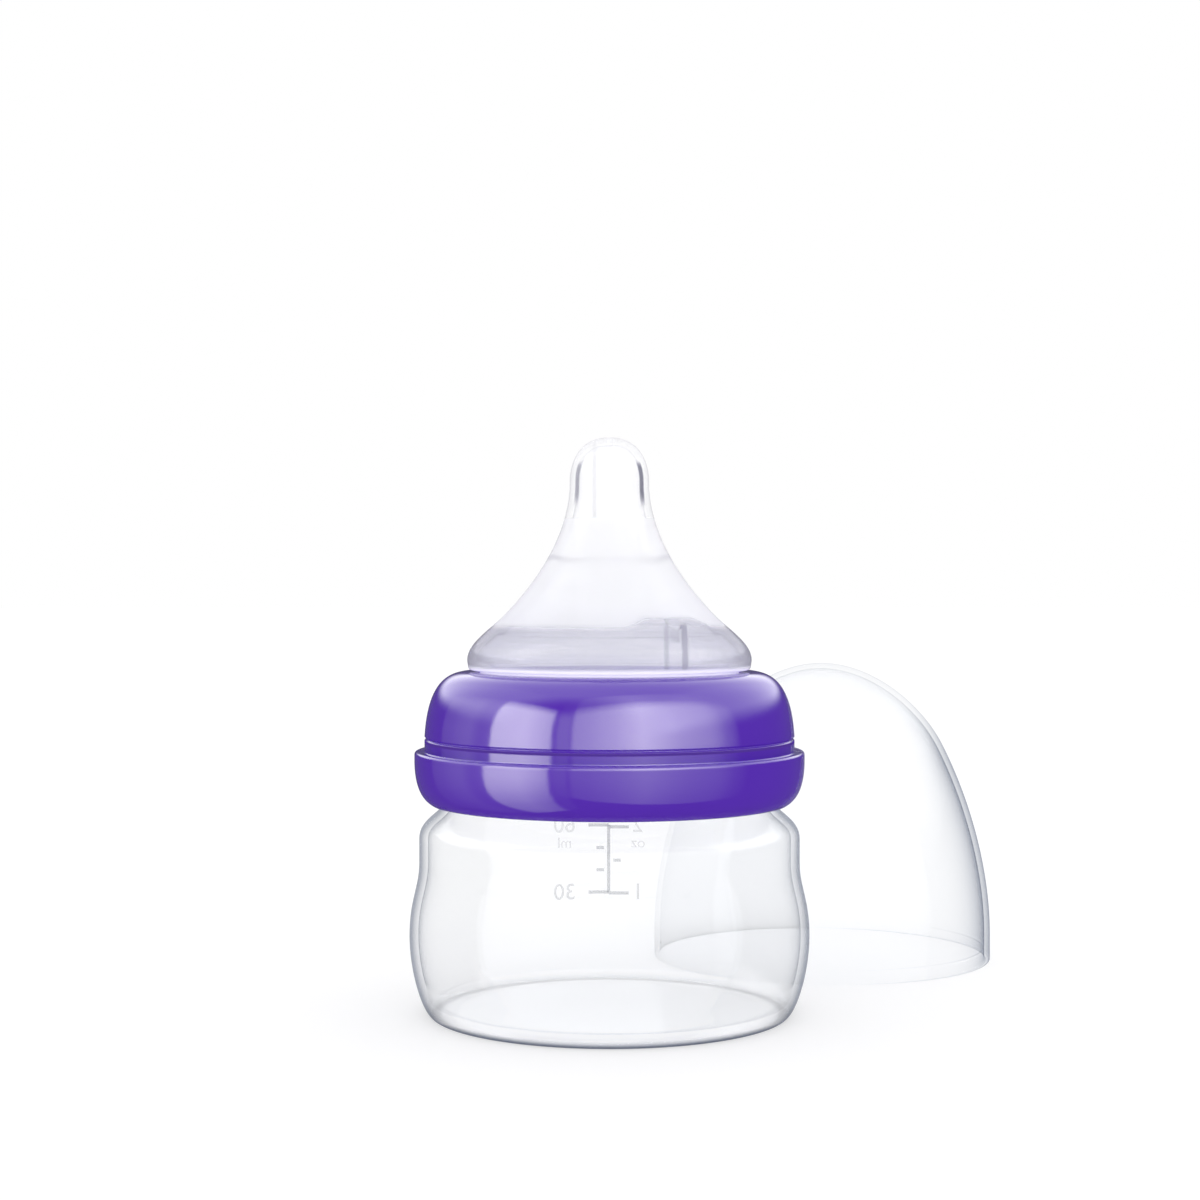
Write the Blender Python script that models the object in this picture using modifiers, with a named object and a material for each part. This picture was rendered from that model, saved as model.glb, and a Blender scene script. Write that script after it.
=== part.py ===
"""Small wide-necked feeding bottle: clear bottle, screw collar, silicone teat and dome cap.

Units are metres and +Z is up.  The bottle's axis is the Z axis and it stands on z = 0.
The collar is screwed down on the neck and clamps the teat's flange on the bottle's rim.
The cap is off and stands beside the bottle.
Outlines are lists of (radius, height) points that run down the outer side.
"""

import math

import bmesh
import bpy
from mathutils import Matrix, Vector

# ---------------------------------------------------------------- driving dimensions
# Fineness
SIDES = 48                       # facets round a turned piece
SPAN_STEPS = 6                   # points along one curved stretch of an outline

# Gaps between touching pieces
SEAT_GAP = 0.0003                # between faces that are clamped together
THREAD_CLEARANCE = 0.0003        # crest to root, in radius
THREAD_PLAY = 0.0004             # between the flanks that bear on each other
NECK_CLEARANCE = 0.0004          # collar to plain neck, in radius
FLANGE_CLEARANCE = 0.0004        # collar to the teat's flange, in radius
GROOVE_CLEARANCE = 0.0004        # collar's opening to the teat's groove, in radius
CAP_FIT = 0.0001                 # cap to collar when it is on, in radius
CAP_HEADROOM = 0.0027            # teat's tip to the inside of the cap when it is on

# Bottle
STANDING_RADIUS = 0.0282
STANDING_RING_WIDTH = 0.0034
RECESS_SLOPE = 0.0008            # how far the sloping edge of the base panel reaches
RECESS_DEPTH = 0.0006
BELLY_RADIUS = 0.03175
WAIST_RADIUS = 0.0302
NECK_RADIUS = 0.0263
BELLY_HEIGHT = 0.0125            # base to the widest place
BELLY_RISE = 0.0114              # widest place to waist
WAIST_RISE = 0.0039              # straight stretch under the shoulder
SHOULDER_RISE = 0.0061
NECK_LENGTH = 0.0152
BOTTLE_WALL = 0.0014
RIM_ROUNDING = 0.0003

# Screw thread, right-handed with one start
THREAD_PITCH = 0.0040
THREAD_TURNS = 1.25
THREAD_DEPTH = 0.0010
THREAD_ROOT_WIDTH = 0.0017
THREAD_CREST_WIDTH = 0.0009
THREAD_BURY = 0.0005             # how far a ridge's root is sunk into its own wall
THREAD_START = 0.0037            # foot of the neck to the middle of the thread's lower end

# Collar
COLLAR_WALL = 0.00176
COLLAR_DROP = 0.0006             # how far the skirt reaches below the foot of the neck
COLLAR_SKIRT_HEIGHT = 0.0083     # bottom edge to ledge
COLLAR_MOUTH_CHAMFER = 0.0004
COLLAR_FOOT_WIDTH = 0.0003       # flat bottom edge outside the chamfer
COLLAR_PLATE = 0.0026            # thickness of the plate that clamps the teat
COLLAR_RELIEF = 0.0008           # height over which the bore narrows
LEDGE_WIDTH = 0.0016
LEDGE_ROUNDING = 0.00035
LIP_WIDTH = 0.0016               # flat round the opening, under the teat's skirt
SNAP_HEIGHT = 0.0021             # ledge to the middle of the snap groove
SNAP_HALF_WIDTH = 0.0003
SNAP_DEPTH = 0.0003

# Teat
GROOVE_RADIUS = 0.0206
SKIRT_RADIUS = 0.0226
CONE_RADIUS = 0.0169             # where the skirt turns into the cone
NIPPLE_RADIUS = 0.0063
FEED_HOLE_RADIUS = 0.0005
FLANGE_INSET = 0.0010            # flange's edge inside the neck's outer face
FLANGE_THICKNESS = 0.0019
FLANGE_ROUNDING = 0.0004
SKIRT_FOOT_INSET = 0.0006
SKIRT_BULGE_HEIGHT = 0.0015      # skirt's underside to its widest place
CONE_HEIGHT = 0.0085             # skirt's underside to where the cone starts
NIPPLE_HEIGHT = 0.0297           # skirt's underside to where the tip starts
TIP_RISE = 0.0071
THROAT_WALL = 0.0019
SKIRT_WALL = 0.0015
CONE_WALL = 0.0022
NIPPLE_WALL = 0.0017
SKIRT_STEP_HEIGHT = 0.0070       # skirt's underside to the change of wall
CONE_STEP_HEIGHT = 0.0178
VENT_DIRECTION = -57.0           # degrees from +X
VENT_RADIUS = 0.0020
VENT_BORE_RADIUS = 0.0007
VENT_TOP = 0.0082                # skirt's underside to the top of the vent
VENT_PORT_RADIUS = 0.0005

# Cap
CAP_WALL = 0.0010
CAP_SKIRT_HEIGHT = 0.0045        # straight stretch above its rim
CAP_TURN_RADIUS = 0.0220         # where the side turns into the crown
CAP_CROWN_RISE = 0.0149
CAP_SIDE_ANGLE = -63.5           # degrees, slope of the wall at the turn
CAP_BEAD = 0.0002                # how far the snap bead stands in
CAP_GAP = 0.0028                 # cap to bottle as it stands beside it
CAP_DIRECTION = 53.2             # degrees from +X

# ---------------------------------------------------------------- derived sizes
waist_height = BELLY_HEIGHT + BELLY_RISE
shoulder_height = waist_height + WAIST_RISE
neck_height = shoulder_height + SHOULDER_RISE
rim_height = neck_height + NECK_LENGTH

thread_crest_radius = NECK_RADIUS + THREAD_DEPTH
bore_radius = thread_crest_radius + THREAD_CLEARANCE
collar_crest_radius = NECK_RADIUS + THREAD_CLEARANCE
engaged_width = THREAD_ROOT_WIDTH - (THREAD_ROOT_WIDTH - THREAD_CREST_WIDTH) * THREAD_CLEARANCE / THREAD_DEPTH
thread_height = neck_height + THREAD_START
thread_top = thread_height + THREAD_TURNS * THREAD_PITCH + THREAD_ROOT_WIDTH / 2
collar_thread_height = thread_height - (engaged_width + THREAD_CREST_WIDTH) / 2 - THREAD_PLAY

flange_radius = NECK_RADIUS - FLANGE_INSET
flange_height = rim_height + SEAT_GAP
plate_height = flange_height + FLANGE_THICKNESS + SEAT_GAP
collar_top = plate_height + COLLAR_PLATE
skirt_underside = collar_top + SEAT_GAP
collar_bottom = neck_height - COLLAR_DROP
ledge_height = collar_bottom + COLLAR_SKIRT_HEIGHT
crown_radius = bore_radius + COLLAR_WALL
opening_radius = GROOVE_RADIUS + GROOVE_CLEARANCE
tip_height = skirt_underside + NIPPLE_HEIGHT + TIP_RISE

cap_radius = crown_radius + CAP_FIT + CAP_WALL
cap_height = tip_height - ledge_height + CAP_HEADROOM + CAP_WALL
cap_distance = BELLY_RADIUS + cap_radius + CAP_GAP


# ---------------------------------------------------------------- outlines
def direction(degrees):
    """Unit step in the plane of an outline: 0 points outwards and 90 points up."""
    return Vector((math.cos(math.radians(degrees)), math.sin(math.radians(degrees))))


def sweep(start, start_angle, end, end_angle, start_pull, end_pull, steps=SPAN_STEPS):
    """Points after start along a smooth curve that leaves and arrives at the given angles.

    The pulls say how far the curve holds each angle, as shares of the straight distance.
    """
    start = Vector(start)
    end = Vector(end)
    reach = (end - start).length
    leave = start + direction(start_angle) * reach * start_pull
    arrive = end - direction(end_angle) * reach * end_pull
    points = []
    for step in range(1, steps + 1):
        t = step / steps
        s = 1.0 - t
        point = start * s ** 3 + leave * 3 * s * s * t + arrive * 3 * s * t * t + end * t ** 3
        points.append(tuple(point))
    return points


def inner_outline(outer, wall_at):
    """The outline a wall's thickness inside another one, with the wall set by the height."""
    inner = []
    for index, (radius, height) in enumerate(outer):
        before = Vector(outer[max(index - 1, 0)])
        after = Vector(outer[min(index + 1, len(outer) - 1)])
        along = (after - before).normalized()
        wall = wall_at(height)
        inner.append((max(radius + along.y * wall, 0.0), height - along.x * wall))
    return inner


def lowered(points, drop):
    """The same points with heights counted from the height called drop."""
    return [(radius, height - drop) for radius, height in points]


# ---------------------------------------------------------------- shapes
def make_object(name, mesh, collection, location=(0.0, 0.0, 0.0)):
    item = bpy.data.objects.new(name, mesh)
    item.location = location
    collection.objects.link(item)
    return item


def turned(name, outline, collection, closed, location=(0.0, 0.0, 0.0)):
    """A turned piece: an outline at +X with a Screw modifier round Z."""
    mesh = bpy.data.meshes.new(name)
    edges = [(index, index + 1) for index in range(len(outline) - 1)]
    if closed:
        edges.append((len(outline) - 1, 0))
    mesh.from_pydata([(radius, 0.0, height) for radius, height in outline], edges, [])
    item = make_object(name, mesh, collection, location)
    screw = item.modifiers.new("turn", "SCREW")
    screw.steps = SIDES
    screw.render_steps = SIDES
    screw.use_merge_vertices = True
    screw.merge_threshold = 0.00001
    screw.use_smooth_shade = True
    return item


def thread_ridge(name, root_radius, crest_radius, height, collection):
    """One helical ridge of a right-handed thread, lofted through its sections."""
    count = round(THREAD_TURNS * SIDES)
    tip = THREAD_CREST_WIDTH / 2
    root = THREAD_ROOT_WIDTH / 2
    bury = math.copysign(THREAD_BURY, root_radius - crest_radius)
    flank = (root - tip) / abs(crest_radius - root_radius)
    foot = root + flank * THREAD_BURY
    section = [
        (root_radius + bury, -foot),
        (crest_radius, -tip),
        (crest_radius, tip),
        (root_radius + bury, foot),
    ]
    shape = bmesh.new()
    rings = []
    for step in range(count + 1):
        angle = 2 * math.pi * step / SIDES
        lift = height + THREAD_PITCH * step / SIDES
        ring = []
        for radius, offset in section:
            place = (radius * math.cos(angle), radius * math.sin(angle), lift + offset)
            ring.append(shape.verts.new(place))
        rings.append(ring)
    for here, there in zip(rings, rings[1:]):
        for side in range(len(section)):
            other = (side + 1) % len(section)
            shape.faces.new((here[side], there[side], there[other], here[other]))
    shape.faces.new(rings[0])
    shape.faces.new(rings[-1])
    bmesh.ops.recalc_face_normals(shape, faces=shape.faces)
    mesh = bpy.data.meshes.new(name)
    shape.to_mesh(mesh)
    shape.free()
    return make_guide(make_object(name, mesh, collection))


def rod(name, radius, start, end, collection, sides=16):
    """A straight round rod from one point to another."""
    start = Vector(start)
    span = Vector(end) - start
    shape = bmesh.new()
    bmesh.ops.create_cone(
        shape, cap_ends=True, segments=sides, radius1=radius, radius2=radius, depth=span.length
    )
    turn = Vector((0.0, 0.0, 1.0)).rotation_difference(span).to_matrix().to_4x4()
    bmesh.ops.transform(shape, matrix=Matrix.Translation(start + span / 2) @ turn, verts=shape.verts)
    mesh = bpy.data.meshes.new(name)
    shape.to_mesh(mesh)
    shape.free()
    return make_guide(make_object(name, mesh, collection))


def make_guide(item):
    item.hide_render = True
    item.display_type = "WIRE"
    return item


def combine(item, other, operation):
    """Cut, join or limit one piece with another by an exact boolean."""
    other.parent = item
    cut = item.modifiers.new(other.name, "BOOLEAN")
    cut.operation = operation
    cut.solver = "EXACT"
    cut.object = other


def finish(item, colour, roughness, alpha=1.0):
    """A Principled material in the piece's own colour."""
    material = bpy.data.materials.new(item.name)
    material.use_nodes = True
    shader = material.node_tree.nodes["Principled BSDF"]
    shader.inputs["Base Color"].default_value = (*colour, 1.0)
    shader.inputs["Roughness"].default_value = roughness
    shader.inputs["Metallic"].default_value = 0.0
    shader.inputs["Alpha"].default_value = alpha
    item.data.materials.append(material)


# ---------------------------------------------------------------- bottle
def bottle_outer():
    """From the rim down the neck, shoulder, waist and belly, and in under the base."""
    neck = (NECK_RADIUS, neck_height)
    shoulder = (WAIST_RADIUS, shoulder_height)
    waist = (WAIST_RADIUS, waist_height)
    belly = (BELLY_RADIUS, BELLY_HEIGHT)
    ring_inside = STANDING_RADIUS - STANDING_RING_WIDTH
    outline = [
        (NECK_RADIUS - RIM_ROUNDING, rim_height),
        (NECK_RADIUS, rim_height - RIM_ROUNDING),
        neck,
    ]
    outline += sweep(neck, -90, shoulder, -90, 0.32, 0.44)
    outline.append(waist)
    outline += sweep(waist, -90, belly, -90, 0.33, 0.49)
    outline += sweep(belly, -90, (STANDING_RADIUS, 0.0), 180, 0.47, 0.10)
    outline += [
        (ring_inside, 0.0),
        (ring_inside - RECESS_SLOPE, RECESS_DEPTH),
        (0.0, RECESS_DEPTH),
    ]
    return outline


def bottle_outline():
    """Inside first, from the middle of the floor up to the rim, then the outside down.

    The inside turns its lower corner without the outer point on which the bottle stands,
    because the wall is thicker than that corner is round.
    """
    outer = bottle_outer()
    inside_rim = (NECK_RADIUS - BOTTLE_WALL, rim_height)
    inner = inner_outline(outer[2:-4] + outer[-3:-1], lambda height: BOTTLE_WALL)
    floor = [(0.0, RECESS_DEPTH + BOTTLE_WALL)]
    return floor + inner[::-1] + [inside_rim] + outer


def make_bottle(parts, guides):
    bottle = turned("bottle", bottle_outline(), parts, closed=False)
    ridge = thread_ridge(
        "bottle_thread", NECK_RADIUS, thread_crest_radius, thread_height, guides
    )
    combine(bottle, ridge, "UNION")
    finish(bottle, (0.93, 0.95, 0.97), 0.05, alpha=0.3)
    return bottle


# ---------------------------------------------------------------- collar
def collar_outline():
    """From the opening over the crown, ledge and skirt, then up the bore to the plate."""
    rim_radius = crown_radius + LEDGE_WIDTH
    snap = ledge_height + SNAP_HEIGHT
    crown_foot = (crown_radius, snap + SNAP_HALF_WIDTH)
    lip = (opening_radius + LIP_WIDTH, collar_top)
    skirt_top = (rim_radius, ledge_height - LEDGE_ROUNDING)
    mouth_radius = bore_radius + COLLAR_MOUTH_CHAMFER
    relief = thread_top + THREAD_CLEARANCE
    neck_bore = NECK_RADIUS + NECK_CLEARANCE
    flange_bore = flange_radius + FLANGE_CLEARANCE
    outline = [(opening_radius, collar_top), lip]
    outline += sweep(lip, 0, crown_foot, -86.5, 0.32, 0.60)
    outline += [
        (crown_radius - SNAP_DEPTH, snap),
        (crown_radius, snap - SNAP_HALF_WIDTH),
        (crown_radius, ledge_height),
        (rim_radius - LEDGE_ROUNDING, ledge_height),
        skirt_top,
    ]
    outline += sweep(skirt_top, -90, (mouth_radius + COLLAR_FOOT_WIDTH, collar_bottom), -150, 0.45, 0.30)
    outline += [
        (mouth_radius, collar_bottom),
        (bore_radius, collar_bottom + COLLAR_MOUTH_CHAMFER),
        (bore_radius, relief),
        (neck_bore, relief + COLLAR_RELIEF),
        (neck_bore, rim_height + SEAT_GAP),
        (flange_bore, plate_height - COLLAR_RELIEF),
        (flange_bore, plate_height),
        (opening_radius, plate_height),
    ]
    return lowered(outline, collar_bottom)


def make_collar(parts, guides, teat):
    collar = turned("screw_collar", collar_outline(), parts, closed=True)
    collar.location = (0.0, 0.0, collar_bottom - flange_height)
    collar.parent = teat
    ridge = thread_ridge(
        "collar_thread",
        bore_radius,
        collar_crest_radius,
        collar_thread_height - collar_bottom,
        guides,
    )
    combine(collar, ridge, "UNION")
    finish(collar, (0.16, 0.06, 0.45), 0.18)
    return collar


# ---------------------------------------------------------------- teat
def teat_outer():
    """From the feed hole over the tip and down the nipple, cone and skirt."""
    tip = (FEED_HOLE_RADIUS, tip_height)
    nipple = (NIPPLE_RADIUS, skirt_underside + NIPPLE_HEIGHT)
    cone = (CONE_RADIUS, skirt_underside + CONE_HEIGHT)
    bulge = (SKIRT_RADIUS, skirt_underside + SKIRT_BULGE_HEIGHT)
    outline = [tip]
    outline += sweep(tip, 0, nipple, -90, 0.37, 0.48)
    outline += sweep(nipple, -90, cone, -45, 0.30, 0.385, steps=2 * SPAN_STEPS)
    outline += sweep(cone, -45, bulge, -90, 0.39, 0.29)
    return outline


def teat_wall(height):
    """The wall's thickness, which changes at two steps on the inside."""
    if height > skirt_underside + CONE_STEP_HEIGHT:
        return NIPPLE_WALL
    if height > skirt_underside + SKIRT_STEP_HEIGHT:
        return CONE_WALL
    return SKIRT_WALL


def teat_outline():
    outer = teat_outer()
    throat_radius = GROOVE_RADIUS - THROAT_WALL
    flange_top = flange_height + FLANGE_THICKNESS
    foot = [
        (SKIRT_RADIUS - SKIRT_FOOT_INSET, skirt_underside),
        (GROOVE_RADIUS, skirt_underside),
        (GROOVE_RADIUS, flange_top),
        (flange_radius - FLANGE_ROUNDING, flange_top),
        (flange_radius, flange_top - FLANGE_ROUNDING),
        (flange_radius, flange_height),
        (throat_radius, flange_height),
        (throat_radius, skirt_underside + SKIRT_FOOT_INSET),
    ]
    inner = inner_outline(outer[1:], teat_wall)
    bore_end = (FEED_HOLE_RADIUS, tip_height - NIPPLE_WALL)
    return lowered(outer + foot + inner[::-1] + [bore_end], flange_height)


def vent_envelope():
    """The inside of the teat's outer skin, down to the flange's underside."""
    skin = THROAT_WALL / 3
    outer = inner_outline(teat_outer()[1:], lambda height: skin)
    foot = [
        (GROOVE_RADIUS - skin, skirt_underside + SKIRT_FOOT_INSET),
        (GROOVE_RADIUS - skin, flange_height),
        (0.0, flange_height),
    ]
    top = (0.0, outer[0][1])
    return lowered([top] + outer + foot, flange_height)


def make_teat(parts, guides, bottle):
    teat = turned("teat", teat_outline(), parts, closed=True)
    teat.location = (0.0, 0.0, flange_height)
    teat.parent = bottle

    # The air vent is a tube down the inside of the skirt, bored from below.
    out = Vector((math.cos(math.radians(VENT_DIRECTION)), math.sin(math.radians(VENT_DIRECTION)), 0.0))
    up = Vector((0.0, 0.0, 1.0))
    foot = out * (GROOVE_RADIUS - THROAT_WALL - VENT_BORE_RADIUS)
    underside = skirt_underside - flange_height
    tube = rod("vent_tube", VENT_RADIUS, foot, foot + up * (underside + VENT_TOP), guides)
    envelope = make_guide(turned("vent_envelope", vent_envelope(), guides, closed=False))
    combine(tube, envelope, "INTERSECT")
    combine(teat, tube, "UNION")
    bore_top = underside + VENT_TOP - VENT_RADIUS
    bore = rod("vent_bore", VENT_BORE_RADIUS, foot - up * VENT_RADIUS, foot + up * bore_top, guides, 8)
    combine(teat, bore, "DIFFERENCE")
    port_level = up * (underside - COLLAR_PLATE / 2)
    port = rod("vent_port", VENT_PORT_RADIUS, foot + port_level, out * flange_radius + port_level, guides, 8)
    combine(teat, port, "DIFFERENCE")
    finish(teat, (0.88, 0.88, 0.92), 0.35, alpha=0.6)
    return teat


# ---------------------------------------------------------------- cap
def cap_outer():
    crown = (0.0, cap_height)
    turn = (CAP_TURN_RADIUS, cap_height - CAP_CROWN_RISE)
    skirt = (cap_radius, CAP_SKIRT_HEIGHT)
    outline = [crown]
    outline += sweep(crown, 0, turn, CAP_SIDE_ANGLE, 0.34, 0.33)
    outline += sweep(turn, CAP_SIDE_ANGLE, skirt, -90, 0.32, 0.33)
    return outline


def cap_outline():
    outer = cap_outer()
    inside_radius = cap_radius - CAP_WALL
    bead = [
        (inside_radius, SNAP_HEIGHT - SNAP_HALF_WIDTH),
        (inside_radius - CAP_BEAD, SNAP_HEIGHT),
        (inside_radius, SNAP_HEIGHT + SNAP_HALF_WIDTH),
    ]
    inner = inner_outline(outer, lambda height: CAP_WALL)
    inner[0] = (0.0, cap_height - CAP_WALL)
    rim = [(cap_radius, 0.0), (inside_radius, 0.0)]
    outline = outer + rim + bead + inner[::-1]
    return outline


def make_cap(parts, bottle):
    cap = turned("dome_cap", cap_outline(), parts, closed=False)
    angle = math.radians(CAP_DIRECTION)
    cap.location = (cap_distance * math.cos(angle), cap_distance * math.sin(angle), 0.0)
    cap.parent = bottle
    finish(cap, (0.95, 0.96, 0.98), 0.05, alpha=0.3)
    return cap


# ---------------------------------------------------------------- assembly
def clear_scene():
    for item in list(bpy.data.objects):
        bpy.data.objects.remove(item)


def new_collection(name):
    collection = bpy.data.collections.new(name)
    bpy.context.scene.collection.children.link(collection)
    return collection


def main():
    clear_scene()
    parts = new_collection("feeding_bottle")
    guides = new_collection("guides")
    bottle = make_bottle(parts, guides)
    teat = make_teat(parts, guides, bottle)
    make_collar(parts, guides, teat)
    make_cap(parts, bottle)


main()
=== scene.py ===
"""A small feeding bottle in a bright studio.

A clear bottle with a purple screw collar and a silicone teat, and its dome cap standing
behind it.  Lengths are metres and +Z is up; the bottle's axis is the Z axis.
"""

import math

import bmesh
import bpy
from mathutils import Matrix, Vector


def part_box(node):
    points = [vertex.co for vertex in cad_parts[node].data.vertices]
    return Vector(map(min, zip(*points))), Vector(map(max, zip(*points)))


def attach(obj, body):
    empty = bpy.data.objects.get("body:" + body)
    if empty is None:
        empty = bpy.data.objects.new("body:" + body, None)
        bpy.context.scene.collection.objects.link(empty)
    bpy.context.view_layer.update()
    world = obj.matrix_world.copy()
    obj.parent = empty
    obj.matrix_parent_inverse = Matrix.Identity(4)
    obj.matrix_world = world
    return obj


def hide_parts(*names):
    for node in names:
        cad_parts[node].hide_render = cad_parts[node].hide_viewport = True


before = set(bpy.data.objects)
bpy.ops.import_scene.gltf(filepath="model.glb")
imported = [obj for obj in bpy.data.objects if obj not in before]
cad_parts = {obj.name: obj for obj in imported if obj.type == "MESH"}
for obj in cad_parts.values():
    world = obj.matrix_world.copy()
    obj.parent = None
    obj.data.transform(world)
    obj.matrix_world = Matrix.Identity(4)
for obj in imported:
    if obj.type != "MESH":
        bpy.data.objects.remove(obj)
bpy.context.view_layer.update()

bottle_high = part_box("bottle")[1]
teat_low, teat_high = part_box("teat")
collar_low, collar_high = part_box("screw_collar")
cap_low, cap_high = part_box("dome_cap")

# ---------------------------------------------------------------- sizes
TURNS_SIDES = 192                # facets round a turned piece
SPAN_STEPS = 20                  # points along one curved stretch of an outline
CORNER_STEPS = 5                 # points round one rounded corner
SHARP_ANGLE = 42                 # degrees between two faces that meet in a crisp edge
CRISP = 0.0001                   # roundings of corners, from the sharpest to the softest
FINE = 0.0002
EASED = 0.0003
SOFT = 0.0004

# Bottle
RIM_HEIGHT = bottle_high.z
BELLY_RADIUS = bottle_high.x
BELLY_HEIGHT = 0.0125
WAIST_RADIUS = 0.0302
WAIST_HEIGHT = 0.0239
SHOULDER_HEIGHT = 0.0278
NECK_HEIGHT = 0.0339
NECK_RADIUS = 0.0263
STANDING_RADIUS = 0.0282
STANDING_RING_WIDTH = 0.0034
RECESS_DEPTH = 0.0006
RECESS_SLOPE = 0.0008
PANEL_RADIUS = STANDING_RADIUS - STANDING_RING_WIDTH - RECESS_SLOPE
BOTTLE_WALL = 0.0014
FLOOR_CORNER = 0.0018            # how far the inside's lower corner is rounded
FLOOR_RADIUS = 0.0263            # how far out the flat inner floor reaches

# Screw thread
THREAD_PITCH = 0.0040
THREAD_TURNS = 1.25
THREAD_DEPTH = 0.0010
THREAD_ROOT_WIDTH = 0.0017
THREAD_CREST_WIDTH = 0.0009
THREAD_BURY = 0.0005
THREAD_FADE = 0.03               # share of the thread's length over which each end rises
BOTTLE_THREAD_HEIGHT = 0.0376
COLLAR_THREAD_HEIGHT = 0.03602

# Collar
COLLAR_BOTTOM = collar_low.z
COLLAR_TOP = collar_high.z
COLLAR_RIM_RADIUS = collar_high.x
CROWN_RADIUS = 0.02936
BORE_RADIUS = 0.0276
NECK_BORE_RADIUS = 0.0267
FLANGE_BORE_RADIUS = 0.0257
OPENING_RADIUS = 0.0210
LIP_WIDTH = 0.0016
LEDGE_HEIGHT = 0.0416
LEDGE_THICKNESS = 0.0012
MOUTH_FLARE = 0.0004
SNAP_RISE = 0.0021
SNAP_HALF_WIDTH = 0.0003
SNAP_DEPTH = 0.0003
PLATE_HEIGHT = 0.0516
RELIEF_HEIGHT = 0.04375
RELIEF_RISE = 0.0008
GROOVE_SHADE_DROP = 0.00047      # how far under the snap groove's middle its painted shade line is

# Teat
FLANGE_HEIGHT = teat_low.z
TIP_HEIGHT = teat_high.z
FLANGE_RADIUS = teat_high.x
FLANGE_TOP = 0.0513
SKIRT_UNDERSIDE = 0.0545
GROOVE_RADIUS = 0.0206
SKIRT_RADIUS = 0.0226
SKIRT_BULGE_RISE = 0.0015
CONE_RADIUS = 0.0169
CONE_RISE = 0.0085
NIPPLE_RADIUS = 0.0063
NIPPLE_RISE = 0.0297
FEED_HOLE_RADIUS = 0.0005
THROAT_WALL = 0.0019
SKIRT_WALL = 0.0015
CONE_WALL = 0.0022
NIPPLE_WALL = 0.0012
SKIRT_STEP_RISE = 0.0070
CONE_STEP_RISE = 0.0178
VENT_DIRECTION = -57.0
VENT_RADIUS = 0.0020
VENT_BORE_RADIUS = 0.0007
VENT_RISE = 0.0082
VENT_WAIST_RADIUS = 0.0016
VENT_FUNNEL_RADIUS = 0.0023
VENT_FUNNEL_DEPTH = 0.0022
VENT_PORT_RADIUS = 0.0005
VENT_SIDES = 48
VENT_BORE_SIDES = 24
VENT_PORT_SIDES = 16
FROST_RISE = 0.0240              # where the frosting ends, over the skirt's underside
STEP_ARCH = 0.0014               # how much higher the skirt's band of painted purple reflection ends over the vent
VENT_LINE_LEFT = 0.0013          # how far from the vent's middle the painted shade of its two sides lies
VENT_LINE_RIGHT = 0.0015
SEAM_PLACE = -0.0024             # where the moulding seam runs up the nipple
VENT_OUT = Vector((math.cos(math.radians(VENT_DIRECTION)), math.sin(math.radians(VENT_DIRECTION)), 0.0))
VENT_PLACE = VENT_OUT * (GROOVE_RADIUS - THROAT_WALL - VENT_BORE_RADIUS)

# Cap
CAP_PLACE = Vector(((cap_low.x + cap_high.x) / 2, (cap_low.y + cap_high.y) / 2, 0.0))
CAP_RADIUS = (cap_high.x - cap_low.x) / 2
CAP_HEIGHT = cap_high.z
CAP_WALL = 0.0010
CAP_SKIRT_HEIGHT = 0.0045
CAP_TURN_RADIUS = 0.0220
CAP_CROWN_RISE = 0.0149
CAP_SIDE_ANGLE = -63.5
CAP_BEAD = 0.0002
CAP_SIDE_FADE = 0.034            # where the painted shade at the cap's edge passes from its side ...
CAP_TOP_FADE = 0.048             # ... to its top

# Volume scale
OUNCE = 29.57                    # millilitres
SCALE_FOOT = 0.0144              # height of the 30 ml mark
SCALE_RISE = 0.000395            # height for each millilitre more
SCALE_RELIEF = 0.00008
SCALE_STROKE = 0.00055
SCALE_LIFT = 0.4                 # share of the relief by which the print stands off the wall
BAR_FACETS = 9
LONG_MARK = 0.0035
SHORT_MARK_GAP = 0.0008
SHORT_MARK_END = 0.0021
FIGURE_HEIGHT = 0.0040
FIGURE_OFFSET = 0.0077
OUNCE_OFFSET = 0.0051
UNIT_HEIGHT = 0.0026
UNIT_DROP = 0.0031

# Looks
WHITE = (1.0, 1.0, 1.0, 1.0)
BLACK = (0.0, 0.0, 0.0, 1.0)
PLASTIC_INDEX = 1.49
SILICONE_INDEX = 1.41
EDGE_SHARPNESS = 5.0             # how close to its edges the bottle's painted shade keeps
CAP_SHARPNESS = 4.0              # the same for the cap
SHADE_COLOUR = (0.25, 0.26, 0.30, 1.0)

# Studio
LAMP_DISTANCE = 0.6
LAMP_EYE = 0.048
LEFT_LAMP_ANGLE = -69
RIGHT_LAMP_ANGLE = 27
FLOOR_SIZE = 4.0
FLOOR_SHADE = 0.52               # how pale the paper is
FLOOR_GLOW = 0.52                # what it adds for the camera ...
FLOOR_BOUNCE = 0.46              # ... and for the light that it throws back
CAMERA_PLACE = (-0.0015, -0.350, 0.0698)
CAMERA_DIP = 0.70                # degrees below level
CAMERA_LENS = 66.0


# ---------------------------------------------------------------- outlines
def direction(degrees):
    """Unit step in the plane of an outline: 0 points outwards and 90 points up."""
    return Vector((math.cos(math.radians(degrees)), math.sin(math.radians(degrees))))


def sweep(start, start_angle, end, end_angle, start_pull, end_pull, steps=SPAN_STEPS):
    """Points after start along a smooth curve that leaves and arrives at the given angles."""
    start = Vector(start)
    end = Vector(end)
    reach = (end - start).length
    leave = start + direction(start_angle) * reach * start_pull
    arrive = end - direction(end_angle) * reach * end_pull
    points = []
    for step in range(1, steps + 1):
        t = step / steps
        s = 1.0 - t
        point = start * s ** 3 + leave * 3 * s * s * t + arrive * 3 * s * t * t + end * t ** 3
        points.append(tuple(point))
    return points


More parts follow.
